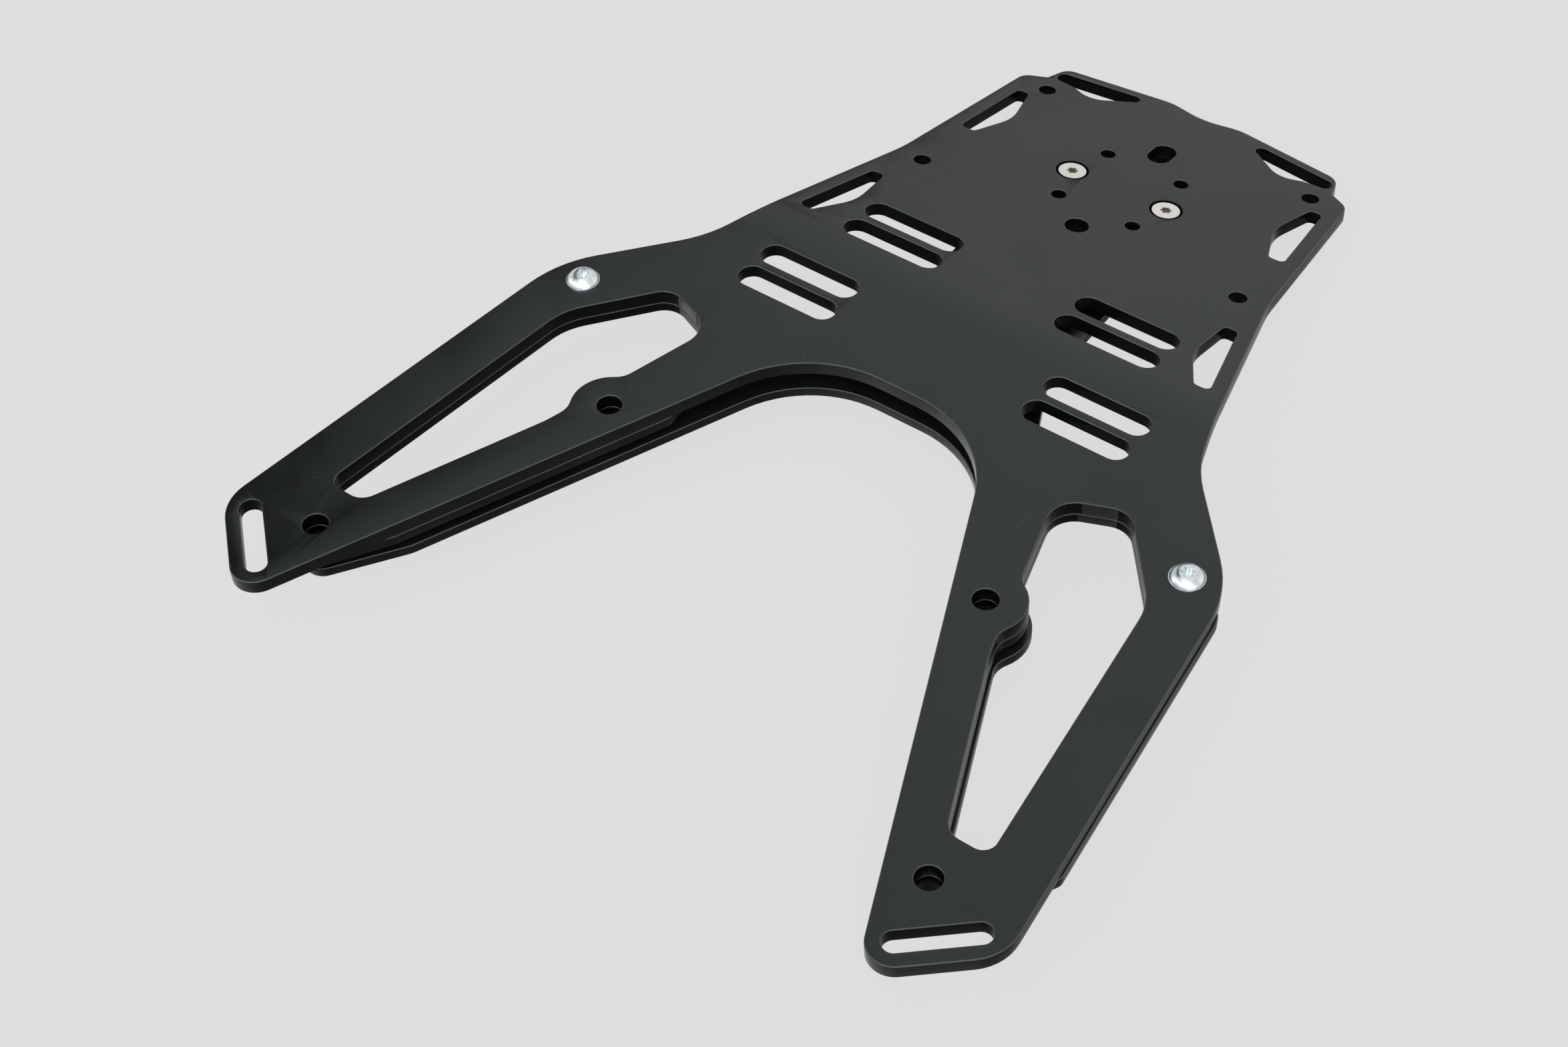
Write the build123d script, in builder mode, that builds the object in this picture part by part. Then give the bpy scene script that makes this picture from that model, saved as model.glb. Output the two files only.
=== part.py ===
# Motorcycle luggage rack: a folded deck plate with two splayed arms, on a folded lower plate.
# Millimetres. X to the right, Y to the rear, Z up. The arms lie level and the deck falls to the rear.
# Origin: midway between the two rear bolt holes, on the underside of the lower plate.
import os
from math import cos, hypot, radians, sin, tan

from build123d import *

# Plates, from the top down
top_thickness = 8.0
arm_plate_thickness = 6.0
arm_gap = 5.0  # air between the arm plates and the lower plate
lower_thickness = 6.0
edge_break = 0.5  # on the rims of every plate

# The folds, across the top plate and across the lower plate
fold_angle = 8.1
fold_y = 163.0
bend_radius = 160.0  # of the top face
lower_bend_radius = 60.0
deck_datum = 96.4  # from the fold to the line of the two side holes, along the deck

# Bolt holes that hold the rack to the motorcycle
bolt_opening = 13.0
rear_bolt_x = 113.0
front_bolt_x = 179.5
front_bolt_y = -144.0
tail_hole_y = 1.4  # on the deck
tail_slot_y = 92.7
tail_slot_travel = 6.3

# Arms
inner_x = 94.4  # inner edge on the line of the rear bolts
inner_splay = 23.4
outer_x = 210.6  # outer edge on the same line
outer_splay = 6.3
bight_y = 91.8
bight_radius = 66.0
tip_slot_x = 199.4
tip_slot_y = -166.6
tip_slot_length = 48.0
tip_slot_width = 11.0
tip_slot_angle = 41.6
tip_rim = 7.3
tip_outer_radius = 25.0
tip_inner_radius = 13.0
shoulder_y = 113.0  # a point on the sloping shoulder
shoulder_x = 164.5
shoulder_splay = 40.5
shoulder_radius = 67.0
neck_x = 140.7  # half width at the fold
neck_splay = 16.7
neck_radius = 70.0
fold_corner_radius = 300.0

# Deck outline, on the deck, from the line of the side holes
waist_x = 116.0
waist_y = 3.8
waist_radius = 90.0
rear_shoulder_x = 105.8
rear_shoulder_y = 113.2
rear_shoulder_radius = 9.0
notch_x = 93.0
notch_y = 119.9
notch_radius = 3.0
lobe_x = 88.9
lobe_y = 134.9
lobe_radius = 9.0
crest_x = 22.0
crest_y = 143.7
crest_radius = 30.0
dip_x = 5.0
dip_y = 140.0
dip_radius = 35.0

# Window in each arm
window_wall = 29.7  # outer rail, level with the bolts
window_top_x = 139.4
window_top_y = 85.7
window_top_radius = 13.0
window_corner_x = 105.2
window_corner_y = 72.0
window_corner_radius = 15.0
window_diagonal = 39.1
window_shoulder_radius = 35.0
window_foot_y = -119.8
window_foot_outer_radius = 7.0
window_foot_inner_radius = 10.0
rail_upper_splay = 15.6
rail_lower_x = 121.6  # on the line of the rear bolts
rail_lower_splay = 22.8
rail_bend_radius = 60.0
boss_radius = 20.3
boss_blend = 12.0

# Strap slots across the plate
strap_slot_length = 60.5
strap_slot_width = 15.0
strap_slot_pitch = 20.0
deck_slots_x = 66.5
deck_slots_y = -67.3
arm_slots_x = 88.5
arm_slots_y = 127.1

# Strap holes along the sides of the deck: rear end, belly and front end
strap_rim = 8.8
strap_corner_radius = 3.1
strap_belly_radius = 26.0
strap_belly_width = 16.8
strap_front_width = 9.0
middle_strap_rear_y = 97.6
middle_strap_rear_width = 6.65
middle_strap_belly_y = 68.5
middle_strap_front_y = 43.6
front_strap_rear_y = -26.6
front_strap_rear_width = 7.3
front_strap_belly_y = -56.6
front_strap_front_y = -79.2

# Strap holes along the rear of the deck
rear_strap_rim = 4.9
rear_strap_inner_x = 28.0
rear_strap_inner_radius = 3.4
rear_strap_belly_x = 61.5
rear_strap_belly_y = 115.6
rear_strap_belly_radius = 16.0
rear_strap_neck_x = 75.0
rear_strap_neck_y = 120.9
rear_strap_neck_radius = 10.0
rear_strap_outer_y = 122.0
rear_strap_outer_radius = 4.0

# Small holes in the deck
side_hole = 9.6
side_hole_x = 100.0
corner_hole_x = 85.7
corner_hole_y = 108.1
accessory_hole = 8.2
accessory_x = 23.5
accessory_front_y = 20.7
accessory_rear_y = 73.2

# Arm plates under the arms
arm_plate_proud = 0.8
arm_plate_margin = 13.0
arm_plate_radius = 16.0
arm_plate_side_y = 60.0
arm_plate_inner_y = 16.0
arm_plate_inner_radius = 12.0
arm_plate_end_y = -107.0
arm_plate_end_radius = 6.0
arm_plate_front_x = 201.0
arm_plate_front_y = -160.0
arm_plate_nose_x = 176.0
arm_plate_nose_y = -168.0
arm_plate_foot_y = -124.0
arm_plate_foot_radius = 10.0

# Lower plate
tongue_half_width = 47.3
tongue_rear_y = 118.0  # on the deck
tongue_radius = 14.0
flare_radius = 40.0
flare_splay = 25.2
flare_x = 56.0
flare_y = 139.6
hip_splay = 36.9
hip_y = 122.6
hip_radius = 60.0
leg_recess = 3.5  # behind the upper rail of the window
leg_proud = 1.2  # past its lower rail
leg_boss_proud = 2.0
leg_bight_y = 92.6
leg_bight_radius = 62.0
leg_joint_radius = 30.0
leg_kink_y = -117.0
leg_kink_splay = 35.0
leg_kink_radius = 20.0
leg_foot_y = -136.0
leg_foot_margin = 11.2  # round the front bolt hole
leg_foot_radius = 10.0

# Spacer rings between the arm plates and the lower plate
ring_diameter = 20.0
ring_bore = 13.2

# Fasteners, M8
thread = 8.0
thread_clearance = 0.05
shank_hole = 9.0
tip_chamfer = 0.8
deck_screw_x = 30.0
deck_screw_y = 45.5
deck_screw_length = 25.0
seat_clearance = 0.07
sink_diameter = 17.8
flat_head_diameter = 16.4
flat_head_land = 0.4
flat_socket = 6.2
flat_socket_depth = 3.2
arm_screw_x = 183.0
arm_screw_y = 64.2
arm_screw_length = 20.0
flange_diameter = 17.8
flange_rim = 1.0
dome_diameter = 15.0
dome_height = 4.6
dome_flat = 8.4
dome_socket = 7.2
dome_socket_depth = 2.6
washer_diameter = 16.0
washer_bore = 8.4
washer_thickness = 1.6
nut_flats = 13.0
nut_height = 6.8
flange_nut_height = 8.0
flange_nut_rim = 1.4
nut_chamfer = 0.6

# Heights
stack = top_thickness + arm_plate_thickness + arm_gap + lower_thickness
ring_z = lower_thickness
arm_plate_z = ring_z + arm_gap
tall = 200.0  # reach of the cuts, well past every face

rise = sin(radians(fold_angle))
run = cos(radians(fold_angle))
deck_normal = Vector(0, rise, run)
deck_origin = Vector(0, fold_y + deck_datum * run, stack - deck_datum * rise)

# The lower plate folds where it reaches the underside of the deck
drop = stack - lower_thickness - top_thickness * run
lower_fold_y = fold_y + drop * run / rise - top_thickness * rise

below = (Align.CENTER, Align.CENTER, Align.MAX)


def deck_plane(depth=0.0, x=0.0, y=0.0):
    """Plane along the deck at a depth under its top face, with its centre at a point given on the deck."""
    across = Vector(0, run, -rise) * y
    return Plane(origin=deck_origin + Vector(x, 0, 0) + across - deck_normal * depth, x_dir=(1, 0, 0), z_dir=deck_normal)


def plan_y(deck_y):
    """Level position of a point that is given along the deck."""
    return fold_y + (deck_datum + deck_y) * run


def x_at(x, y, splay, y_new):
    """Where a line through (x, y) that spreads to the front by splay degrees stands at y_new."""
    return x + (y - y_new) * tan(radians(splay))


def meet(x1, y1, splay1, x2, y2, splay2):
    """Crossing of two such lines."""
    slope1 = tan(radians(splay1))
    slope2 = tan(radians(splay2))
    y = (x1 - x2 + slope1 * y1 - slope2 * y2) / (slope1 - slope2)
    return x1 + (y1 - y) * slope1, y


def folded_side(top_z, thickness, crease_y, radius):
    """Side view of a plate that lies level at the front and falls behind its crease."""
    bend_start = crease_y - radius * tan(radians(fold_angle / 2))
    centre = Vector(bend_start, top_z - radius)
    with BuildSketch() as side:
        with BuildLine():
            top_bend = CenterArc(centre, radius, 90, -fold_angle)
            bottom_bend = CenterArc(centre, radius - thickness, 90, -fold_angle)
            top_rear = PolarLine(top_bend @ 1, 2 * tall, -fold_angle)
            bottom_rear = PolarLine(bottom_bend @ 1, 2 * tall, -fold_angle)
            top_front = Line(top_bend @ 0, (-2 * tall, top_z))
            bottom_front = Line(bottom_bend @ 0, (-2 * tall, top_z - thickness))
            Line(top_rear @ 1, bottom_rear @ 1)
            Line(top_front @ 1, bottom_front @ 1)
        make_face()
    return side.sketch


def outline(corners):
    """Closed face through corners given as x, y, radius. The first and the last corner are sharp."""
    points = [(x, y) for x, y, radius in corners]
    radii = [radius for x, y, radius in corners[1:-1]]
    with BuildSketch() as face:
        with BuildLine():
            rim = FilletPolyline(*points, radius=radii)
            Line(rim @ 1, rim @ 0)
        make_face()
    return face.sketch


def loop(corners):
    """Closed face with every corner rounded, given as x, y, radius."""
    points = [(x, y) for x, y, radius in corners]
    radii = [radius for x, y, radius in corners]
    with BuildSketch() as face:
        with BuildLine():
            FilletPolyline(*points, radius=radii, close=True)
        make_face()
    return face.sketch


def both_sides(corners):
    """Plan of a plate from the corners of its right half."""
    with BuildSketch() as plan:
        add(outline(corners))
        mirror(about=Plane.YZ)
    return plan.sketch


def rims(solid):
    """Edges between the flat or bent skins of a plate and its cut walls."""
    skins = solid.faces().filter_by(lambda face: abs(face.normal_at().Z) > 0.9)
    edges = skins.edges()
    return ShapeList(edge for edge in edges if sum(edge in skin.edges() for skin in skins) == 1)


def on_boss(sketch, radius):
    """Corners of a sketch where the circle round the right rear bolt meets the rail of the window."""
    corners = sketch.vertices().filter_by(lambda v: v.X > rear_bolt_x)
    return corners.filter_by(lambda v: abs(hypot(v.X - rear_bolt_x, v.Y) - radius) < 0.01)


def window():
    """Opening in the right arm, with the boss of the rear bolt standing into it."""
    wall_x = outer_x - window_wall
    diagonal = meet(window_top_x, window_top_y, window_diagonal, wall_x, 0, outer_splay)
    waist = meet(window_corner_x, window_corner_y, rail_upper_splay, rail_lower_x, 0, rail_lower_splay)
    corners = [
        (window_top_x, window_top_y, window_top_radius),
        (*diagonal, window_shoulder_radius),
        (x_at(wall_x, 0, outer_splay, window_foot_y), window_foot_y, window_foot_outer_radius),
        (x_at(rail_lower_x, 0, rail_lower_splay, window_foot_y), window_foot_y, window_foot_inner_radius),
        (*waist, rail_bend_radius),
        (window_corner_x, window_corner_y, window_corner_radius),
    ]
    with BuildSketch() as opening:
        add(loop(corners))
        with Locations(Location((rear_bolt_x, 0, 0), (0, 0, 180))):
            Circle(boss_radius, mode=Mode.SUBTRACT)
        fillet(on_boss(opening, boss_radius), boss_blend)
    return opening.sketch


def leg_boss(radius):
    """Pad of the lower plate under the rear bolt, cut off along the inner edge of the arm."""
    with BuildSketch() as pad:
        with Locations((rear_bolt_x, 0)):
            Circle(radius)
        add(outline(top_half), mode=Mode.INTERSECT)
    return pad.sketch


def side_x(deck_y):
    """Half width of the deck at a place along it."""
    if deck_y > waist_y:
        slope = (waist_x - rear_shoulder_x) / (rear_shoulder_y - waist_y)
    else:
        slope = (neck_x - waist_x) / (deck_datum + waist_y)
    return waist_x + (waist_y - deck_y) * slope


def side_strap_hole(rear, rear_width, belly, front):
    """Strap hole along the right side of the deck, from its rear end, belly and front end."""
    corners = [
        (side_x(rear) - strap_rim, rear, strap_corner_radius),
        (side_x(front) - strap_rim, front, strap_corner_radius),
        (side_x(front) - strap_rim - strap_front_width, front, strap_corner_radius),
        (side_x(belly) - strap_rim - strap_belly_width, belly, strap_belly_radius),
        (side_x(rear) - strap_rim - rear_width, rear, strap_corner_radius),
    ]
    return loop(corners)


def rear_strap_hole():
    """Strap hole along the rear edge of the deck, right side."""
    slope = (crest_y - lobe_y) / (lobe_x - crest_x)
    inner_y = crest_y - (rear_strap_inner_x - crest_x) * slope - rear_strap_rim
    corners = [
        (lobe_x, lobe_y - rear_strap_rim, rear_strap_outer_radius),
        (lobe_x, rear_strap_outer_y, rear_strap_outer_radius),
        (rear_strap_neck_x, rear_strap_neck_y, rear_strap_neck_radius),
        (rear_strap_belly_x, rear_strap_belly_y, rear_strap_belly_radius),
        (rear_strap_inner_x, inner_y, rear_strap_inner_radius),
    ]
    return loop(corners)


def beside(seat):
    """Plane through a fastener's centre line, with x across the fastener and y along it."""
    return Plane(origin=seat.origin, x_dir=seat.x_dir, z_dir=-seat.y_dir)


def six_lobe(size):
    """Six-lobed socket: a circle with six rounded ribs standing into it."""
    rib = size * 0.2
    with BuildSketch() as socket:
        Circle(size / 2)
        with PolarLocations(size * 0.36 + rib, 6):
            Circle(rib, mode=Mode.SUBTRACT)
    return socket.sketch


bight_x = x_at(inner_x, 0, inner_splay, bight_y)
tip_reach = tip_slot_width / 2 + tip_rim
tip_x = tip_slot_x + tip_reach * sin(radians(tip_slot_angle))
tip_y = tip_slot_y - tip_reach * cos(radians(tip_slot_angle))
tip_splay = tip_slot_angle - 90
tip_outer = meet(outer_x, 0, outer_splay, tip_x, tip_y, tip_splay)
tip_inner = meet(inner_x, 0, inner_splay, tip_x, tip_y, tip_splay)
shoulder = meet(shoulder_x, shoulder_y, shoulder_splay, outer_x, 0, outer_splay)
neck = meet(neck_x, fold_y, neck_splay, shoulder_x, shoulder_y, shoulder_splay)

# Right half of the top plate, from the middle of the rear edge round to the middle of the bight
top_half = [
    (0, plan_y(dip_y), 0),
    (dip_x, plan_y(dip_y), dip_radius),
    (crest_x, plan_y(crest_y), crest_radius),
    (lobe_x, plan_y(lobe_y), lobe_radius),
    (notch_x, plan_y(notch_y), notch_radius),
    (rear_shoulder_x, plan_y(rear_shoulder_y), rear_shoulder_radius),
    (waist_x, plan_y(waist_y), waist_radius),
    (neck_x, fold_y, fold_corner_radius),
    (*neck, neck_radius),
    (*shoulder, shoulder_radius),
    (*tip_outer, tip_outer_radius),
    (*tip_inner, tip_inner_radius),
    (bight_x, bight_y, bight_radius),
    (0, bight_y, 0),
]

# Right arm plate, from its rear corner round by the outer side
plate_outer_x = outer_x + arm_plate_proud
arm_plate_corners = [
    (window_top_x, window_top_y + arm_plate_margin * 1.4, arm_plate_radius),
    (x_at(plate_outer_x, 0, outer_splay, arm_plate_side_y), arm_plate_side_y, arm_plate_radius),
    (x_at(plate_outer_x, 0, outer_splay, arm_plate_end_y), arm_plate_end_y, arm_plate_end_radius),
    (arm_plate_front_x, arm_plate_front_y, arm_plate_radius),
    (arm_plate_nose_x, arm_plate_nose_y, arm_plate_inner_radius),
    (x_at(inner_x, 0, inner_splay, arm_plate_foot_y), arm_plate_foot_y, arm_plate_foot_radius),
    (x_at(inner_x, 0, inner_splay, arm_plate_inner_y), arm_plate_inner_y, arm_plate_inner_radius),
    (window_corner_x - arm_plate_margin, window_corner_y + arm_plate_margin * 0.6, arm_plate_inner_radius),
]

# Right half of the lower plate, from the middle of its rear edge round to the middle of the bight
hip_x = x_at(flare_x, flare_y, flare_splay, hip_y)
flare_start = flare_y + (flare_x - tongue_half_width) / tan(radians(flare_splay))
upper_rail_x = window_corner_x - leg_recess
lower_rail_x = rail_lower_x + leg_proud
leg_joint = meet(hip_x, hip_y, hip_splay, upper_rail_x, window_corner_y, rail_upper_splay)
leg_waist = meet(upper_rail_x, window_corner_y, rail_upper_splay, lower_rail_x, 0, rail_lower_splay)
foot_x = front_bolt_x + leg_foot_margin
foot_y = front_bolt_y - leg_foot_margin
kink_x = x_at(inner_x, 0, inner_splay, leg_kink_y)
leg_bight_x = x_at(inner_x, 0, inner_splay, leg_bight_y)
lower_half = [
    (0, plan_y(tongue_rear_y), 0),
    (tongue_half_width, plan_y(tongue_rear_y), tongue_radius),
    (tongue_half_width, flare_start, flare_radius),
    (hip_x, hip_y, hip_radius),
    (*leg_joint, leg_joint_radius),
    (*leg_waist, rail_bend_radius),
    (x_at(lower_rail_x, 0, rail_lower_splay, window_foot_y), window_foot_y, leg_kink_radius),
    (foot_x, leg_foot_y, leg_foot_radius),
    (foot_x, foot_y, leg_foot_radius),
    (x_at(kink_x, leg_kink_y, leg_kink_splay, foot_y), foot_y, leg_foot_radius),
    (kink_x, leg_kink_y, leg_kink_radius),
    (leg_bight_x, leg_bight_y, leg_bight_radius),
    (0, leg_bight_y, 0),
]


def deck_openings():
    """Bolt openings and accessory holes that go through the deck and the tongue below it."""
    with BuildSketch() as holes:
        with Locations((accessory_x, accessory_front_y), (accessory_x, accessory_rear_y)):
            Circle(accessory_hole / 2)
        mirror(about=Plane.YZ)
        with Locations((0, tail_hole_y)):
            Circle(bolt_opening / 2)
        with Locations((0, tail_slot_y)):
            SlotCenterToCenter(tail_slot_travel, bolt_opening, rotation=90)
    return holes.sketch


# Top plate
with BuildPart() as top_plate:
    with BuildSketch(Plane.YZ):
        add(folded_side(stack, top_thickness, fold_y, bend_radius))
    extrude(amount=tall * 1.5, both=True)
    with BuildSketch(Plane.XY.offset(-tall / 2)):
        add(both_sides(top_half))
    extrude(amount=tall, mode=Mode.INTERSECT)
    with BuildSketch():
        add(window())
        with Locations((tip_slot_x, tip_slot_y)):
            SlotOverall(tip_slot_length, tip_slot_width, rotation=tip_slot_angle)
        with Locations((rear_bolt_x, 0), (front_bolt_x, front_bolt_y)):
            Circle(bolt_opening / 2)
        with Locations((arm_slots_x, arm_slots_y)):
            with GridLocations(0, strap_slot_pitch, 1, 2):
                SlotOverall(strap_slot_length, strap_slot_width)
        mirror(about=Plane.YZ)
    extrude(amount=tall, mode=Mode.SUBTRACT)
    with BuildSketch(deck_plane(2 * top_thickness)):
        with Locations((deck_slots_x, deck_slots_y)):
            with GridLocations(0, strap_slot_pitch, 1, 2):
                SlotOverall(strap_slot_length, strap_slot_width)
        add(side_strap_hole(middle_strap_rear_y, middle_strap_rear_width, middle_strap_belly_y, middle_strap_front_y))
        add(side_strap_hole(front_strap_rear_y, front_strap_rear_width, front_strap_belly_y, front_strap_front_y))
        add(rear_strap_hole())
        with Locations((side_hole_x, 0), (corner_hole_x, corner_hole_y)):
            Circle(side_hole / 2)
        mirror(about=Plane.YZ)
        add(deck_openings())
    extrude(amount=3 * top_thickness, mode=Mode.SUBTRACT)
    chamfer(rims(top_plate), edge_break)
    with Locations(deck_plane()):
        with Locations((deck_screw_x, deck_screw_y), (-deck_screw_x, deck_screw_y)):
            CounterSinkHole(shank_hole / 2, sink_diameter / 2, counter_sink_angle=90)
    with Locations((arm_screw_x, arm_screw_y, stack), (-arm_screw_x, arm_screw_y, stack)):
        Hole(shank_hole / 2)
top_plate.part.label = "top_plate"

# Arm plates
with BuildPart() as arm_plate_right:
    with BuildSketch(Plane.XY.offset(arm_plate_z)):
        add(loop(arm_plate_corners))
        add(window(), mode=Mode.SUBTRACT)
    extrude(amount=arm_plate_thickness)
    chamfer(rims(arm_plate_right), edge_break)
    with Locations((rear_bolt_x, 0, stack), (front_bolt_x, front_bolt_y, stack)):
        Hole(bolt_opening / 2)
    with Locations((arm_screw_x, arm_screw_y, stack)):
        Hole(shank_hole / 2)
arm_plate_right.part.label = "arm_plate_right"

with BuildPart() as arm_plate_left:
    mirror(arm_plate_right.part, about=Plane.YZ)
arm_plate_left.part.label = "arm_plate_left"

# Lower plate: two legs joined by a tongue that runs up to the deck and then lies along it
with BuildPart() as lower_plate:
    with BuildSketch(Plane.YZ):
        add(folded_side(lower_thickness, lower_thickness, lower_fold_y, lower_bend_radius))
    extrude(amount=tall * 1.5, both=True)
    with BuildSketch(Plane.XY.offset(-tall / 2)) as lower_plan:
        add(outline(lower_half))
        add(leg_boss(boss_radius + leg_boss_proud))
        fillet(on_boss(lower_plan, boss_radius + leg_boss_proud), boss_blend)
        mirror(about=Plane.YZ)
    extrude(amount=tall, mode=Mode.INTERSECT)
    chamfer(rims(lower_plate), edge_break)
    for side in (1, -1):
        with Locations((side * rear_bolt_x, 0, stack), (side * front_bolt_x, front_bolt_y, stack)):
            Hole(bolt_opening / 2)
    with BuildSketch(deck_plane(4 * top_thickness)):
        add(deck_openings())
    extrude(amount=3 * top_thickness, mode=Mode.SUBTRACT)
    with Locations(deck_plane()):
        with Locations((deck_screw_x, deck_screw_y), (-deck_screw_x, deck_screw_y)):
            Hole(shank_hole / 2)
lower_plate.part.label = "lower_plate"

# Countersunk screws that hold the deck to the tongue, with their washers and nuts
head_depth = (sink_diameter - flat_head_diameter) / 2 - flat_head_land - seat_clearance
head_seat = deck_plane(head_depth, deck_screw_x, deck_screw_y)
head_cone = (flat_head_diameter - thread) / 2
with BuildPart() as countersunk_screw_right:
    with BuildSketch(beside(head_seat)):
        with BuildLine():
            Polyline(
                (0, 0),
                (flat_head_diameter / 2, 0),
                (flat_head_diameter / 2, -flat_head_land),
                (thread / 2, -flat_head_land - head_cone),
                (thread / 2, tip_chamfer - deck_screw_length),
                (thread / 2 - tip_chamfer, -deck_screw_length),
                (0, -deck_screw_length),
                close=True,
            )
        make_face()
    revolve(axis=Axis(head_seat.origin, head_seat.z_dir))
    with BuildSketch(head_seat):
        add(six_lobe(flat_socket))
    extrude(amount=-flat_socket_depth, mode=Mode.SUBTRACT)
countersunk_screw_right.part.label = "countersunk_screw_right"

washer_seat = deck_plane(top_thickness + lower_thickness, deck_screw_x, deck_screw_y)
with BuildPart() as washer_right:
    with BuildSketch(washer_seat):
        Circle(washer_diameter / 2)
        Circle(washer_bore / 2, mode=Mode.SUBTRACT)
    extrude(amount=-washer_thickness)
washer_right.part.label = "washer_right"

nut_seat = deck_plane(top_thickness + lower_thickness + washer_thickness, deck_screw_x, deck_screw_y)
nut_corner = nut_flats / 2 / cos(radians(30))
nut_bore = thread / 2 + thread_clearance
with BuildPart() as hex_nut_right:
    with BuildSketch(nut_seat):
        RegularPolygon(nut_flats / 2, 6, major_radius=False)
    extrude(amount=-nut_height)
    with BuildSketch(beside(nut_seat)):
        with BuildLine():
            Polyline(
                (nut_bore, 0),
                (nut_flats / 2, 0),
                (nut_corner, -nut_chamfer),
                (nut_corner, nut_chamfer - nut_height),
                (nut_flats / 2, -nut_height),
                (nut_bore, -nut_height),
                close=True,
            )
        make_face()
    revolve(axis=Axis(nut_seat.origin, nut_seat.z_dir), mode=Mode.INTERSECT)
hex_nut_right.part.label = "hex_nut_right"

with BuildPart() as countersunk_screw_left:
    mirror(countersunk_screw_right.part, about=Plane.YZ)
countersunk_screw_left.part.label = "countersunk_screw_left"

with BuildPart() as washer_left:
    mirror(washer_right.part, about=Plane.YZ)
washer_left.part.label = "washer_left"

with BuildPart() as hex_nut_left:
    mirror(hex_nut_right.part, about=Plane.YZ)
hex_nut_left.part.label = "hex_nut_left"

# Button screws that hold the arm plates to the arms, with their flange nuts
button_seat = Plane(origin=(arm_screw_x, arm_screw_y, stack), z_dir=(0, 0, 1))
with BuildPart() as button_screw_right:
    with BuildSketch(beside(button_seat)):
        with BuildLine():
            Polyline((0, dome_height), (0, 0), (flange_diameter / 2, 0), (flange_diameter / 2, flange_rim))
            Line((flange_diameter / 2, flange_rim), (dome_diameter / 2, flange_rim))
            dome_foot = Vector(dome_diameter / 2, flange_rim)
            dome_top = Vector(dome_flat / 2, dome_height)
            TangentArc(dome_foot, dome_top, tangent=(-0.25, 1))
            Line(dome_top, (0, dome_height))
        make_face()
    revolve(axis=Axis(button_seat.origin, button_seat.z_dir))
    with Locations(button_seat):
        Cylinder(thread / 2, arm_screw_length, align=below)
    chamfer(button_screw_right.edges().sort_by(Axis.Z)[0], tip_chamfer)
    with BuildSketch(button_seat.offset(dome_height)):
        add(six_lobe(dome_socket))
    extrude(amount=-dome_socket_depth, mode=Mode.SUBTRACT)
button_screw_right.part.label = "button_screw_right"

flange_seat = Plane(origin=(arm_screw_x, arm_screw_y, arm_plate_z), z_dir=(0, 0, 1))
with BuildPart() as flange_nut_right:
    with BuildSketch(flange_seat):
        RegularPolygon(nut_flats / 2, 6, major_radius=False)
    extrude(amount=-flange_nut_height)
    with BuildSketch(beside(flange_seat)):
        with BuildLine():
            Polyline(
                (nut_bore, 0),
                (nut_corner, 0),
                (nut_corner, nut_chamfer - flange_nut_height),
                (nut_flats / 2, -flange_nut_height),
                (nut_bore, -flange_nut_height),
                close=True,
            )
        make_face()
    revolve(axis=Axis(flange_seat.origin, flange_seat.z_dir), mode=Mode.INTERSECT)
    with BuildSketch(flange_seat):
        Circle(flange_diameter / 2)
        Circle(nut_bore, mode=Mode.SUBTRACT)
    extrude(amount=-flange_nut_rim)
flange_nut_right.part.label = "flange_nut_right"

with BuildPart() as button_screw_left:
    mirror(button_screw_right.part, about=Plane.YZ)
button_screw_left.part.label = "button_screw_left"

with BuildPart() as flange_nut_left:
    mirror(flange_nut_right.part, about=Plane.YZ)
flange_nut_left.part.label = "flange_nut_left"

# Spacer rings round the four bolt holes of the arms
with BuildPart() as spacer_ring_rear_right:
    with BuildSketch(Plane.XY.offset(ring_z)):
        with Locations((rear_bolt_x, 0)):
            Circle(ring_diameter / 2)
            Circle(ring_bore / 2, mode=Mode.SUBTRACT)
    extrude(amount=arm_gap)
spacer_ring_rear_right.part.label = "spacer_ring_rear_right"

with BuildPart() as spacer_ring_front_right:
    with BuildSketch(Plane.XY.offset(ring_z)):
        with Locations((front_bolt_x, front_bolt_y)):
            Circle(ring_diameter / 2)
            Circle(ring_bore / 2, mode=Mode.SUBTRACT)
    extrude(amount=arm_gap)
spacer_ring_front_right.part.label = "spacer_ring_front_right"

with BuildPart() as spacer_ring_rear_left:
    mirror(spacer_ring_rear_right.part, about=Plane.YZ)
spacer_ring_rear_left.part.label = "spacer_ring_rear_left"

with BuildPart() as spacer_ring_front_left:
    mirror(spacer_ring_front_right.part, about=Plane.YZ)
spacer_ring_front_left.part.label = "spacer_ring_front_left"

os.makedirs("parts", exist_ok=True)
export_step(top_plate.part, "parts/top_plate.step")
export_step(arm_plate_left.part, "parts/arm_plate_left.step")
export_step(arm_plate_right.part, "parts/arm_plate_right.step")
export_step(lower_plate.part, "parts/lower_plate.step")
export_step(countersunk_screw_left.part, "parts/countersunk_screw_left.step")
export_step(countersunk_screw_right.part, "parts/countersunk_screw_right.step")
export_step(washer_left.part, "parts/washer_left.step")
export_step(washer_right.part, "parts/washer_right.step")
export_step(hex_nut_left.part, "parts/hex_nut_left.step")
export_step(hex_nut_right.part, "parts/hex_nut_right.step")
export_step(button_screw_left.part, "parts/button_screw_left.step")
export_step(button_screw_right.part, "parts/button_screw_right.step")
export_step(flange_nut_left.part, "parts/flange_nut_left.step")
export_step(flange_nut_right.part, "parts/flange_nut_right.step")
export_step(spacer_ring_rear_left.part, "parts/spacer_ring_rear_left.step")
export_step(spacer_ring_rear_right.part, "parts/spacer_ring_rear_right.step")
export_step(spacer_ring_front_left.part, "parts/spacer_ring_front_left.step")
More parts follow.
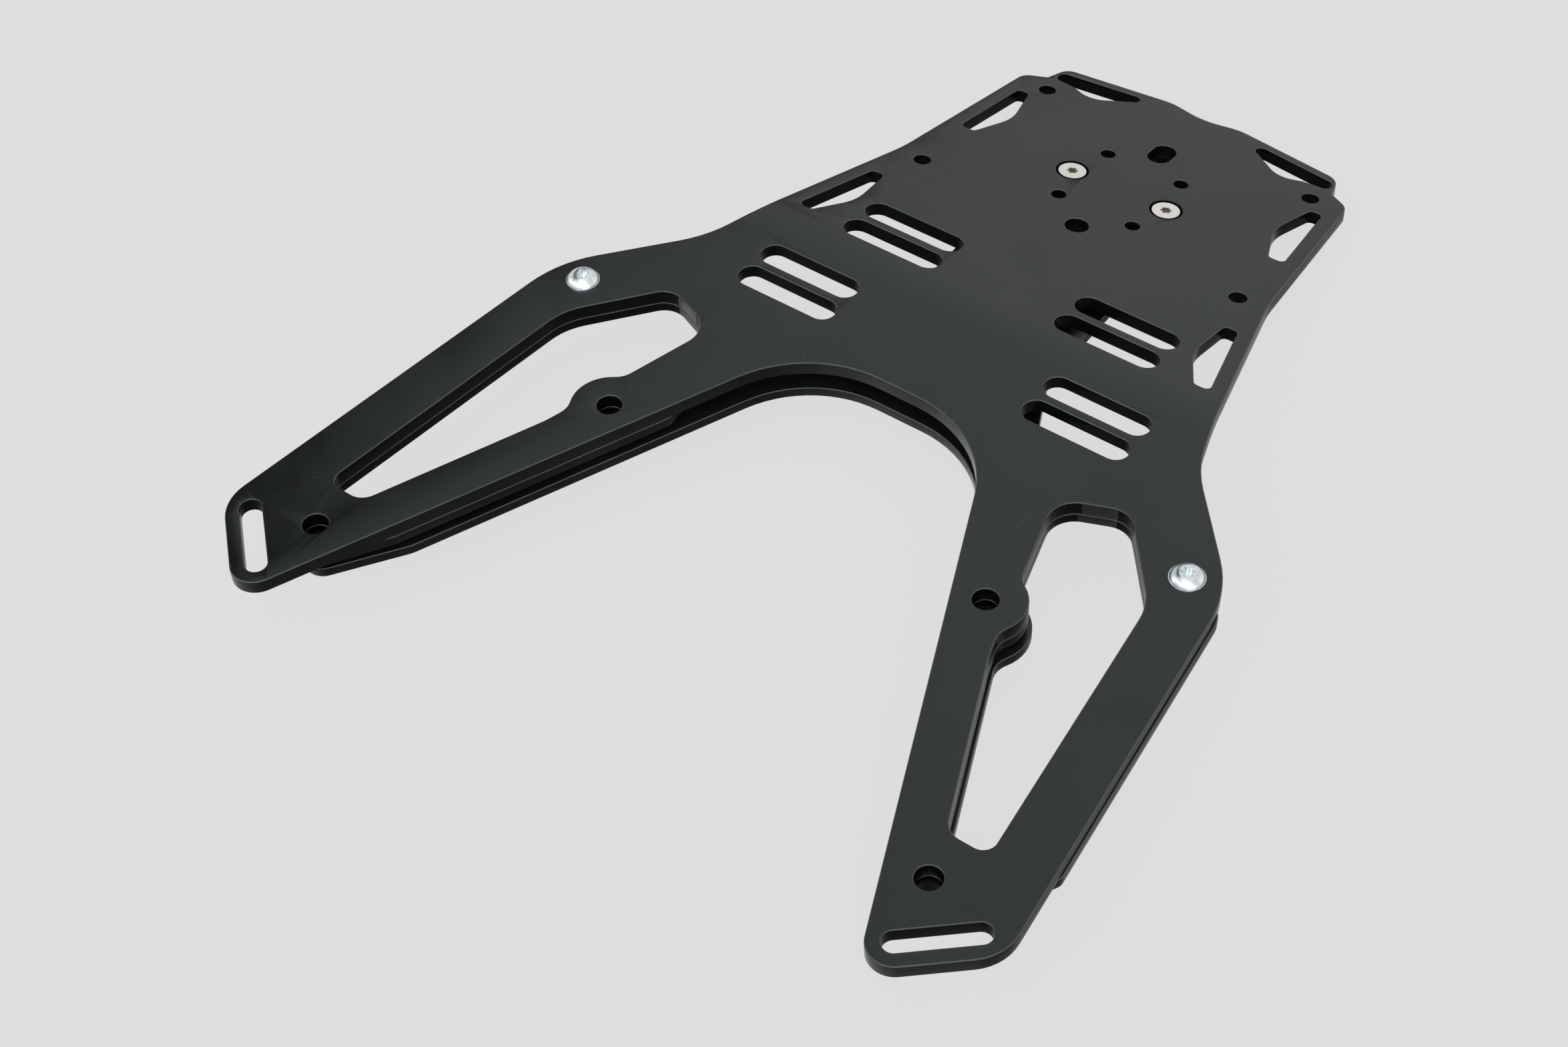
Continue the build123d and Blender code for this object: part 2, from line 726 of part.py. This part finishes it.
export_step(spacer_ring_front_right.part, "parts/spacer_ring_front_right.step")
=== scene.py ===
import bpy
from mathutils import Matrix, Vector


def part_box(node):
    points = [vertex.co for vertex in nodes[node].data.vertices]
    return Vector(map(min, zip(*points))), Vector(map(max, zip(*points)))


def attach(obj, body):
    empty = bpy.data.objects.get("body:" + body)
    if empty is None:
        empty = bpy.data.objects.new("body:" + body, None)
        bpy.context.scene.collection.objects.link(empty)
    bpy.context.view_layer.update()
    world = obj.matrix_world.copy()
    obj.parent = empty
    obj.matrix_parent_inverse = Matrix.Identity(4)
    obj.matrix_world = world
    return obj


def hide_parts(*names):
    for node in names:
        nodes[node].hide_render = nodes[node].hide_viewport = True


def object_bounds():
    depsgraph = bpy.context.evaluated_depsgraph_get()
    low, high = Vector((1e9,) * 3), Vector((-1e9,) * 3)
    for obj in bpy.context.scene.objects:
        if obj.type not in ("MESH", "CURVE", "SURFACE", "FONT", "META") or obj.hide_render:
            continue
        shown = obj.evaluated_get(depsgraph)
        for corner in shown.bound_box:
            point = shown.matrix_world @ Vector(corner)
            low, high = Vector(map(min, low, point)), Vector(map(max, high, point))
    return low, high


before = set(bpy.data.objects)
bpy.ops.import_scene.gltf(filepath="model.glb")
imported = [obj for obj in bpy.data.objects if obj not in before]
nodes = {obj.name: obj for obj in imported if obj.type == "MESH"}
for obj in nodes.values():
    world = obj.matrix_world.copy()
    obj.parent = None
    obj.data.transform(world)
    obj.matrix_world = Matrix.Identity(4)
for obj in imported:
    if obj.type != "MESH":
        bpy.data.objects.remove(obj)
cad_low, cad_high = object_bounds()

# The studio. The rack stands level on a pale grey sweep, seen from above its right arm,
# with a 60 mm lens on a full-frame camera about 1.3 m away.
camera_data = bpy.data.cameras.new("studio_camera")
camera_data.sensor_width = 36.0
camera_data.lens = 60.0
camera_data.clip_start = 0.05
camera_data.clip_end = 60.0
camera = bpy.data.objects.new("studio_camera", camera_data)
bpy.context.scene.collection.objects.link(camera)
to_right = Vector((0.80327, 0.59448, -0.03679)).normalized()
to_back = Vector((0.42270, -0.52545, 0.73840)).normalized()
to_up = to_back.cross(to_right).normalized()
camera.matrix_world = Matrix(
    (
        (to_right.x, to_up.x, to_back.x, 0.5369),
        (to_right.y, to_up.y, to_back.y, -0.6734),
        (to_right.z, to_up.z, to_back.z, 0.9501),
        (0, 0, 0, 1),
    )
)
bpy.context.scene.camera = camera
bpy.context.scene.view_settings.view_transform = "Standard"

# The room: a pale studio, dark low along its left side, a little dimmer far behind the rack,
# brighter overhead and in front. Its light falls from all round, so the shadows stay soft.
room = bpy.data.worlds.new("studio_room")
bpy.context.scene.world = room
room.use_nodes = True
room_nodes = room.node_tree.nodes
room_links = room.node_tree.links
room_nodes.clear()
room_place = room_nodes.new("ShaderNodeTexCoord")
room_axes = room_nodes.new("ShaderNodeSeparateXYZ")
room_links.new(room_place.outputs["Generated"], room_axes.inputs["Vector"])
room_x, room_y, room_z = room_axes.outputs
room_tilt = room_nodes.new("ShaderNodeVectorMath")
room_tilt.operation = "DOT_PRODUCT"
room_tilt.inputs[1].default_value = (1.0, 0.5, 0.7)
room_links.new(room_place.outputs["Generated"], room_tilt.inputs[0])


def room_wall(level, start, end, dim, bright):
    """Brightness that changes from dim to bright as a direction's level goes from start to end."""
    wall = room_nodes.new("ShaderNodeMapRange")
    wall.interpolation_type = "SMOOTHSTEP"
    wall.inputs["From Min"].default_value = start
    wall.inputs["From Max"].default_value = end
    wall.inputs["To Min"].default_value = dim
    wall.inputs["To Max"].default_value = bright
    room_links.new(level, wall.inputs["Value"])
    return wall.outputs["Result"]


room_all = room_wall(room_tilt.outputs["Value"], 0.165, 0.215, 0.02, 0.745)
room_low = room_wall(room_z, 0.44, 0.66, 0.11, 0.0)
room_rear = room_wall(room_y, 0.42, 0.60, -0.08, 0.03)
room_top = room_wall(room_z, 0.88, 0.98, 0.0, 0.25)
room_front = room_wall(room_y, 0.05, -0.40, 0.0, 0.75)
room_far = room_wall(room_y, 0.76, 0.88, 0.06, -0.13)
room_edge = room_wall(room_x, -0.72, -0.84, 0.0, 0.55)
for room_part in (room_low, room_rear, room_top, room_front, room_far, room_edge):
    room_sum = room_nodes.new("ShaderNodeMath")
    room_sum.operation = "ADD"
    room_links.new(room_all, room_sum.inputs[0])
    room_links.new(room_part, room_sum.inputs[1])
    room_all = room_sum.outputs["Value"]
room_light = room_nodes.new("ShaderNodeBackground")
room_light.inputs["Color"].default_value = (0.985, 1.0, 0.995, 1)
room_links.new(room_all, room_light.inputs["Strength"])
room_out = room_nodes.new("ShaderNodeOutputWorld")
room_links.new(room_light.outputs["Background"], room_out.inputs["Surface"])

# One long soft box in front of the rack, high up and a little to the left. It draws the bright
# lines along the front rims.
bpy.ops.object.select_all(action="DESELECT")
bpy.ops.object.light_add(type="AREA", location=(-0.9, -2.5, 2.0))
front_box = bpy.context.object
front_box.name = "front_soft_box"
front_box.data.shape = "RECTANGLE"
front_box.data.size = 3.0
front_box.data.size_y = 0.4
front_box.data.energy = 30.0
box_aim = Vector((0, 0.1, 0)) - front_box.location
front_box.rotation_euler = box_aim.to_track_quat("-Z", "Y").to_euler()

# Black coat of the four plates and the spacer rings: a satin black on aluminium, faintly
# cool, with a fine even grain and a little dust that settled on it.
coat = bpy.data.materials.new("black_coat")
coat.use_nodes = True
coat_nodes = coat.node_tree.nodes
coat_links = coat.node_tree.links
coat_face = coat_nodes["Principled BSDF"]
coat_face.inputs["IOR"].default_value = 1.5
coat_face.inputs["Specular Tint"].default_value = (0.93, 1.0, 0.985, 1)
coat_place = coat_nodes.new("ShaderNodeTexCoord")
coat_cloud = coat_nodes.new("ShaderNodeTexNoise")
coat_cloud.inputs["Scale"].default_value = 22.0
coat_cloud.inputs["Detail"].default_value = 5.0
coat_links.new(coat_place.outputs["Object"], coat_cloud.inputs["Vector"])
coat_tone = coat_nodes.new("ShaderNodeValToRGB")
coat_tone.color_ramp.elements[0].position = 0.35
coat_tone.color_ramp.elements[0].color = (0.0062, 0.0072, 0.0076, 1)
coat_tone.color_ramp.elements[1].position = 0.65
coat_tone.color_ramp.elements[1].color = (0.0094, 0.0106, 0.0110, 1)
coat_links.new(coat_cloud.outputs["Fac"], coat_tone.inputs["Fac"])
coat_dust = coat_nodes.new("ShaderNodeTexVoronoi")
coat_dust.inputs["Scale"].default_value = 75.0
coat_links.new(coat_place.outputs["Object"], coat_dust.inputs["Vector"])
coat_speck = coat_nodes.new("ShaderNodeMath")
coat_speck.operation = "LESS_THAN"
coat_speck.inputs[1].default_value = 0.022
coat_links.new(coat_dust.outputs["Distance"], coat_speck.inputs[0])
coat_dusty = coat_nodes.new("ShaderNodeMixRGB")
coat_dusty.inputs["Color2"].default_value = (0.11, 0.115, 0.11, 1)
coat_links.new(coat_speck.outputs["Value"], coat_dusty.inputs["Fac"])
coat_links.new(coat_tone.outputs["Color"], coat_dusty.inputs["Color1"])
coat_links.new(coat_dusty.outputs["Color"], coat_face.inputs["Base Color"])
coat_gloss = coat_nodes.new("ShaderNodeMapRange")
coat_gloss.inputs["From Min"].default_value = 0.3
coat_gloss.inputs["From Max"].default_value = 0.7
coat_gloss.inputs["To Min"].default_value = 0.19
coat_gloss.inputs["To Max"].default_value = 0.28
coat_links.new(coat_cloud.outputs["Fac"], coat_gloss.inputs["Value"])
coat_links.new(coat_gloss.outputs["Result"], coat_face.inputs["Roughness"])
coat_grain = coat_nodes.new("ShaderNodeTexNoise")
coat_grain.inputs["Scale"].default_value = 2200.0
coat_grain.inputs["Detail"].default_value = 2.0
coat_links.new(coat_place.outputs["Object"], coat_grain.inputs["Vector"])
coat_bump = coat_nodes.new("ShaderNodeBump")
coat_bump.inputs["Strength"].default_value = 0.12
coat_bump.inputs["Distance"].default_value = 0.0001
coat_links.new(coat_grain.outputs["Fac"], coat_bump.inputs["Height"])
coat_links.new(coat_bump.outputs["Normal"], coat_face.inputs["Normal"])

# The cut walls of the outlines: the same coat with less gloss than on the rolled faces, and
# least on the walls that face the right, which paints shade on that side.
front_shaded_coat = coat.copy()
front_shaded_coat.name = "black_coat_front"
front_nodes = front_shaded_coat.node_tree.nodes
front_links = front_shaded_coat.node_tree.links
front_face = front_nodes["Principled BSDF"]
front_face.inputs["IOR"].default_value = 1.38
front_place = front_nodes.new("ShaderNodeTexCoord")
front_axes = front_nodes.new("ShaderNodeSeparateXYZ")
front_links.new(front_place.outputs["Normal"], front_axes.inputs["Vector"])
front_shade_gloss = front_nodes.new("ShaderNodeMapRange")
front_shade_gloss.inputs["From Min"].default_value = 0.0
front_shade_gloss.inputs["From Max"].default_value = 0.8
front_shade_gloss.inputs["To Min"].default_value = 0.5
front_shade_gloss.inputs["To Max"].default_value = 0.05
front_links.new(front_axes.outputs["X"], front_shade_gloss.inputs["Value"])
front_links.new(front_shade_gloss.outputs["Result"], front_face.inputs["Specular IOR Level"])

# The cut walls inside windows, slots and holes, and the edges of the spacer rings: the same
# coat, darker and duller, a painted shade in the openings and in the gap between the plates.
wall_painted_shade = coat.copy()
wall_painted_shade.name = "black_coat_walls"
wall_painted_shade.node_tree.nodes["Principled BSDF"].inputs["IOR"].default_value = 1.10
wall_shade_tone = wall_painted_shade.node_tree.nodes["Color Ramp"]
wall_shade_tone.color_ramp.elements[0].color = (0.0026, 0.0029, 0.0030, 1)
wall_shade_tone.color_ramp.elements[1].color = (0.0036, 0.0039, 0.0040, 1)

# The sinks of the deck screws: cut into the deck for the flat heads and painted black without
# gloss, a painted shadow round the heads as black as the photograph shows.
sink_painted_shadow = bpy.data.materials.new("black_coat_sinks")
sink_painted_shadow.use_nodes = True
sink_face = sink_painted_shadow.node_tree.nodes["Principled BSDF"]
sink_face.inputs["Base Color"].default_value = (0.001, 0.001, 0.001, 1)
sink_face.inputs["Roughness"].default_value = 0.6
sink_face.inputs["Specular IOR Level"].default_value = 0.02

# The rims of the plates, broken by half a millimetre: the coat is lighter and glossier there,
# a painted highlight along the rims.
rim_painted_highlight = coat.copy()
rim_painted_highlight.name = "black_coat_rims"
rim_painted_highlight.node_tree.nodes["Principled BSDF"].inputs["IOR"].default_value = 1.7
rim_highlight_tone = rim_painted_highlight.node_tree.nodes["Color Ramp"]
rim_highlight_tone.color_ramp.elements[0].color = (0.020, 0.022, 0.023, 1)
rim_highlight_tone.color_ramp.elements[1].color = (0.034, 0.037, 0.038, 1)

# The sinks stand round the deck screws, mirrored on the two sides. The photograph shows a
# black ring of shadow between sink and head, so the sinks are drawn wider than built to show it as
# painted shadow.
screw_low, screw_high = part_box("countersunk_screw_right")
head_radius = 0.0082
sink_place = Vector(((screw_low.x + screw_high.x) / 2, screw_high.y - head_radius))
sink_edge = 0.0084
sink_reach = 0.0096
sink_growth = 1.045

# The tip slots: their middle and a direction square to them. The front ends of the arm plates
# are drawn back from them, so that nothing shows through.
slot_middle = Vector((0.1994, -0.1666))
slot_square = Vector((0.6639, -0.7478))
front_reach = 0.016
front_draw = 0.48

# The bolt holes of the arm plates: their upper rims are broken too on the copy, so that they
# catch the light inside the bosses and take the painted highlight of the rims.
arm_plate_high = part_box("arm_plate_right")[1]
bolt_places = (Vector((0.113, 0.0)), Vector((0.1795, -0.144)))
bolt_reach = 0.0068
bolt_break = 0.0006

# The faces of a plate are told apart by the slope of their normals, and an inner wall, which
# takes the painted shade of the walls, by another wall that it faces across an opening.
wall_lean = 0.5
rim_lean = 0.9
rim_angle = 0.84
wall_lift = 0.0003
opening_reach = 0.165
hair = 0.0001


def joined_copy(name, ending, reach):
    """Copy of a CAD piece with the corners of its facets joined and its stored normals cleared."""
    node = nodes[name]
    piece = node.copy()
    piece.data = node.data.copy()
    piece.name = name + ending
    bpy.context.scene.collection.objects.link(piece)
    bpy.ops.object.select_all(action="DESELECT")
    piece.select_set(True)
    bpy.context.view_layer.objects.active = piece
    bpy.ops.object.mode_set(mode="EDIT")
    bpy.ops.mesh.select_all(action="SELECT")
    bpy.ops.mesh.remove_doubles(threshold=reach)
    bpy.ops.mesh.customdata_custom_splitnormals_clear()
    bpy.ops.mesh.select_all(action="DESELECT")
    bpy.ops.object.mode_set(mode="OBJECT")
    return piece


def in_plan(place):
    """A place seen from above, with the left half folded onto the right."""
    return Vector((abs(place.x), place.y))


def from_screw(place):
    """A place's offset in plan from the axis of the deck screw on its side."""
    return in_plan(place) - sink_place


def spread(piece, start, end, growth):
    """Moves the corners between two distances from a deck screw's axis out or in by a factor."""
    for corner in piece.data.vertices:
        side = -1 if corner.co.x < 0 else 1
        out = from_screw(corner.co)
        if start < out.length < end:
            corner.co.x = side * (sink_place.x + out.x * growth)
            corner.co.y = sink_place.y + out.y * growth


def coated(name):
    """Copy of a plate or ring with its rims shaded as one small round."""
    piece = joined_copy(name, "_coated", 0.000004)
    if name == "top_plate":
        spread(piece, sink_edge, sink_reach, sink_growth)
    if "arm_plate" in name:
        for corner in piece.data.vertices:
            beyond = (in_plan(corner.co) - slot_middle).dot(slot_square) + front_reach
            if beyond > 0:
                side = -1 if corner.co.x < 0 else 1
                corner.co.x -= side * slot_square.x * beyond * front_draw
                corner.co.y -= slot_square.y * beyond * front_draw
        for edge in piece.data.edges:
            ends = [piece.data.vertices[k].co for k in edge.vertices]
            edge.select = all(
                abs(end.z - arm_plate_high.z) < hair
                and min((in_plan(end) - bolt).length for bolt in bolt_places) < bolt_reach
                for end in ends
            )
        bpy.ops.object.mode_set(mode="EDIT")
        bpy.ops.mesh.select_mode(type="EDGE")
        bpy.ops.mesh.bevel(offset=bolt_break, segments=1)
        bpy.ops.mesh.select_mode(type="VERT")
        bpy.ops.object.mode_set(mode="OBJECT")
    bpy.ops.object.shade_smooth_by_angle(angle=rim_angle)
    even = piece.modifiers.new("even", "WEIGHTED_NORMAL")
    even.keep_sharp = True
    even.weight = 100
    bpy.ops.object.modifier_apply(modifier="even")
    piece.data.materials.clear()
    finishes = (coat, wall_painted_shade, rim_painted_highlight, front_shaded_coat, sink_painted_shadow)
    for finish in finishes:
        piece.data.materials.append(finish)
    for face in piece.data.polygons:
        lean = abs(face.normal.z)
        finish = coat
        # Faces round a deck screw's axis take the painted shadow of the sinks.
        if from_screw(face.center).length < sink_reach and lean < rim_lean:
            finish = sink_painted_shadow
        elif lean < wall_lean:
            finish = wall_painted_shade
            if "plate" in name:
                start = face.center + face.normal * wall_lift
                if not piece.ray_cast(start, face.normal, distance=opening_reach)[0]:
                    finish = front_shaded_coat
        elif lean < rim_lean:
            finish = rim_painted_highlight
        face.material_index = finishes.index(finish)
    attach(piece, "root")
    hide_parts(name)


for name in nodes:
    if "plate" in name or "ring" in name:
        coated(name)

# Countersunk screws of the deck, with their washers and nuts: plain stainless steel, turned,
# so that fine rings show on the flat heads. The pattern is centred on each screw's axis.
steel = bpy.data.materials.new("turned_steel")
steel.use_nodes = True
steel_nodes = steel.node_tree.nodes
steel_links = steel.node_tree.links
steel_face = steel_nodes["Principled BSDF"]
steel_face.inputs["Metallic"].default_value = 1.0
steel_face.inputs["Roughness"].default_value = 0.36
steel_place = steel_nodes.new("ShaderNodeTexCoord")
steel_axes = steel_nodes.new("ShaderNodeSeparateXYZ")
steel_links.new(steel_place.outputs["Object"], steel_axes.inputs["Vector"])
steel_side = steel_nodes.new("ShaderNodeMath")
steel_side.operation = "ABSOLUTE"
steel_links.new(steel_axes.outputs["X"], steel_side.inputs[0])
steel_x = steel_nodes.new("ShaderNodeMath")
steel_x.operation = "SUBTRACT"
steel_links.new(steel_side.outputs["Value"], steel_x.inputs[0])
steel_x.inputs[1].default_value = sink_place.x
steel_y = steel_nodes.new("ShaderNodeMath")
steel_y.operation = "SUBTRACT"
steel_links.new(steel_axes.outputs["Y"], steel_y.inputs[0])
steel_y.inputs[1].default_value = sink_place.y
steel_spot = steel_nodes.new("ShaderNodeCombineXYZ")
steel_links.new(steel_x.outputs["Value"], steel_spot.inputs["X"])
steel_links.new(steel_y.outputs["Value"], steel_spot.inputs["Y"])
steel_rings = steel_nodes.new("ShaderNodeTexWave")
steel_rings.wave_type = "RINGS"
steel_rings.rings_direction = "Z"
steel_rings.inputs["Scale"].default_value = 520.0
steel_rings.inputs["Distortion"].default_value = 1.5
steel_rings.inputs["Detail"].default_value = 3.0
steel_links.new(steel_spot.outputs["Vector"], steel_rings.inputs["Vector"])
steel_tone = steel_nodes.new("ShaderNodeValToRGB")
steel_tone.color_ramp.elements[0].color = (0.86, 0.84, 0.80, 1)
steel_tone.color_ramp.elements[1].color = (0.98, 0.965, 0.935, 1)
steel_links.new(steel_rings.outputs["Fac"], steel_tone.inputs["Fac"])
steel_links.new(steel_tone.outputs["Color"], steel_face.inputs["Base Color"])
steel_bump = steel_nodes.new("ShaderNodeBump")
steel_bump.inputs["Strength"].default_value = 0.25
steel_bump.inputs["Distance"].default_value = 0.00002
steel_links.new(steel_rings.outputs["Fac"], steel_bump.inputs["Height"])
steel_links.new(steel_bump.outputs["Normal"], steel_face.inputs["Normal"])

# The pressed six-lobe sockets of the flat heads: the same steel, brownish, and darker as painted
# shade in the recess.
pressed_steel = bpy.data.materials.new("pressed_steel")
pressed_steel.use_nodes = True
pressed_nodes = pressed_steel.node_tree.nodes
pressed_links = pressed_steel.node_tree.links
pressed_face = pressed_nodes["Principled BSDF"]
pressed_face.inputs["Metallic"].default_value = 1.0
pressed_face.inputs["Roughness"].default_value = 0.30
pressed_place = pressed_nodes.new("ShaderNodeTexCoord")
pressed_cloud = pressed_nodes.new("ShaderNodeTexNoise")
pressed_cloud.inputs["Scale"].default_value = 900.0
pressed_links.new(pressed_place.outputs["Object"], pressed_cloud.inputs["Vector"])
socket_shade_tone = pressed_nodes.new("ShaderNodeValToRGB")
socket_shade_tone.color_ramp.elements[0].color = (0.26, 0.21, 0.16, 1)
socket_shade_tone.color_ramp.elements[1].color = (0.85, 0.81, 0.75, 1)
pressed_links.new(pressed_cloud.outputs["Fac"], socket_shade_tone.inputs["Fac"])
pressed_links.new(socket_shade_tone.outputs["Color"], pressed_face.inputs["Base Color"])


def turned(name, edge, slot_name, *finishes):
    """Copy of a fastener with its faces shaded smooth up to an angle of edge."""
    piece = joined_copy(name, "_finished", 0.000002)
    bpy.ops.object.shade_smooth_by_angle(angle=edge)
    piece.data.materials.clear()
    for finish in finishes:
        piece.data.materials.append(finish)
    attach(piece, "root")
    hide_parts(name)
    return piece


# The flat heads are drawn smaller than built, to leave the black ring of the photograph, the
# painted shadow of the sinks.
turned_edge = 0.5
head_edge = 0.0079
head_growth = 0.94
socket_reach = 0.0031
socket_top = screw_high.z - 0.0011
socket_floor = screw_high.z - 0.006
for name in nodes:
    if "washer" in name or "hex_nut" in name:
        turned(name, turned_edge, "turned_steel", steel)
    if "countersunk" in name:
        screw = turned(name, turned_edge, "turned_steel", steel, pressed_steel)
        spread(screw, head_edge, sink_reach, head_growth)
        # The faces inside a socket take its painted shade.
        for face in screw.data.polygons:
            in_socket = from_screw(face.center).length < socket_reach
            if in_socket and socket_floor < face.center.z < socket_top:
                face.material_index = 1

# Button screws of the arms and their flange nuts: bright zinc plate, a little blue and mottled.
zinc = bpy.data.materials.new("zinc_steel")
zinc.use_nodes = True
zinc_nodes = zinc.node_tree.nodes
zinc_links = zinc.node_tree.links
zinc_face = zinc_nodes["Principled BSDF"]
zinc_face.inputs["Metallic"].default_value = 1.0
zinc_place = zinc_nodes.new("ShaderNodeTexCoord")
zinc_cloud = zinc_nodes.new("ShaderNodeTexNoise")
zinc_cloud.inputs["Scale"].default_value = 420.0
zinc_cloud.inputs["Detail"].default_value = 4.0
zinc_links.new(zinc_place.outputs["Object"], zinc_cloud.inputs["Vector"])
zinc_tone = zinc_nodes.new("ShaderNodeValToRGB")
zinc_tone.color_ramp.elements[0].position = 0.3
zinc_tone.color_ramp.elements[0].color = (0.62, 0.70, 0.74, 1)
zinc_tone.color_ramp.elements[1].position = 0.7
zinc_tone.color_ramp.elements[1].color = (0.95, 0.97, 0.975, 1)
zinc_links.new(zinc_cloud.outputs["Fac"], zinc_tone.inputs["Fac"])
zinc_links.new(zinc_tone.outputs["Color"], zinc_face.inputs["Base Color"])
zinc_gloss = zinc_nodes.new("ShaderNodeMapRange")
zinc_gloss.inputs["To Min"].default_value = 0.16
zinc_gloss.inputs["To Max"].default_value = 0.34
zinc_links.new(zinc_cloud.outputs["Fac"], zinc_gloss.inputs["Value"])
zinc_links.new(zinc_gloss.outputs["Result"], zinc_face.inputs["Roughness"])

# The dome of a button screw is drawn with a thinner flange under it and a wider foot than
# built, so that it runs out over almost the whole flange.
button_low, button_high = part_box("button_screw_right")
button_place = Vector(((button_low.x + button_high.x) / 2, (button_low.y + button_high.y) / 2))
button_height = 0.0046
flange_built = 0.0010
flange_drawn = 0.0006
dome_edge = 0.6
dome_flat = 0.0042
foot_built = 0.0075
foot_drawn = 0.0086
seat_z = button_high.z - button_height
dome_rise = (button_height - flange_drawn) / (button_height - flange_built)
dome_growth = (foot_drawn - dome_flat) / (foot_built - dome_flat)
for name in nodes:
    if "flange_nut" in name:
        turned(name, turned_edge, "zinc_steel", zinc)
    if "button" in name:
        screw = turned(name, dome_edge, "zinc_steel", zinc)
        side = -1 if "left" in name else 1
        for corner in screw.data.vertices:
            out = Vector((corner.co.x - side * button_place.x, corner.co.y - button_place.y))
            above = corner.co.z - seat_z
            if above > flange_built - hair:
                corner.co.z = seat_z + flange_drawn + (above - flange_built) * dome_rise
                if dome_flat < out.length < foot_built + hair:
                    out *= (dome_flat + (out.length - dome_flat) * dome_growth) / out.length
                    corner.co.x = side * button_place.x + out.x
                    corner.co.y = button_place.y + out.y

# The pale sweep under the rack. To the camera and in reflections it is mostly a plain glow, so
# it is one tone and keeps a faint shadow of the rack.
bpy.ops.object.select_all(action="DESELECT")
bpy.ops.mesh.primitive_plane_add(size=40.0, location=(0, 0, cad_low[2]))
sweep = bpy.context.object
sweep.name = "pale_sweep"
sweep_paint = bpy.data.materials.new("pale_sweep")
sweep_paint.use_nodes = True
sweep_nodes = sweep_paint.node_tree.nodes
sweep_links = sweep_paint.node_tree.links
sweep_face = sweep_nodes["Principled BSDF"]
sweep_face.inputs["Base Color"].default_value = (0.74, 0.74, 0.74, 1)
sweep_face.inputs["Roughness"].default_value = 0.9
sweep_face.inputs["Specular IOR Level"].default_value = 0.0
sweep_glow = sweep_nodes.new("ShaderNodeEmission")
sweep_glow.inputs["Color"].default_value = (0.737, 0.737, 0.737, 1)
sweep_path = sweep_nodes.new("ShaderNodeLightPath")
sweep_seen = sweep_path.outputs["Is Camera Ray"]
for sweep_ray in ("Is Glossy Ray", "Is Transmission Ray"):
    sweep_either = sweep_nodes.new("ShaderNodeMath")
    sweep_either.operation = "MAXIMUM"
    sweep_links.new(sweep_seen, sweep_either.inputs[0])
    sweep_links.new(sweep_path.outputs[sweep_ray], sweep_either.inputs[1])
    sweep_seen = sweep_either.outputs["Value"]
sweep_share = sweep_nodes.new("ShaderNodeMath")
sweep_share.operation = "MULTIPLY"
sweep_links.new(sweep_seen, sweep_share.inputs[0])
sweep_share.inputs[1].default_value = 0.93
sweep_mix = sweep_nodes.new("ShaderNodeMixShader")
sweep_links.new(sweep_share.outputs["Value"], sweep_mix.inputs["Fac"])
sweep_links.new(sweep_face.outputs["BSDF"], sweep_mix.inputs[1])
sweep_links.new(sweep_glow.outputs["Emission"], sweep_mix.inputs[2])
sweep_links.new(sweep_mix.outputs["Shader"], sweep_nodes["Material Output"].inputs["Surface"])
sweep.data.materials.append(sweep_paint)
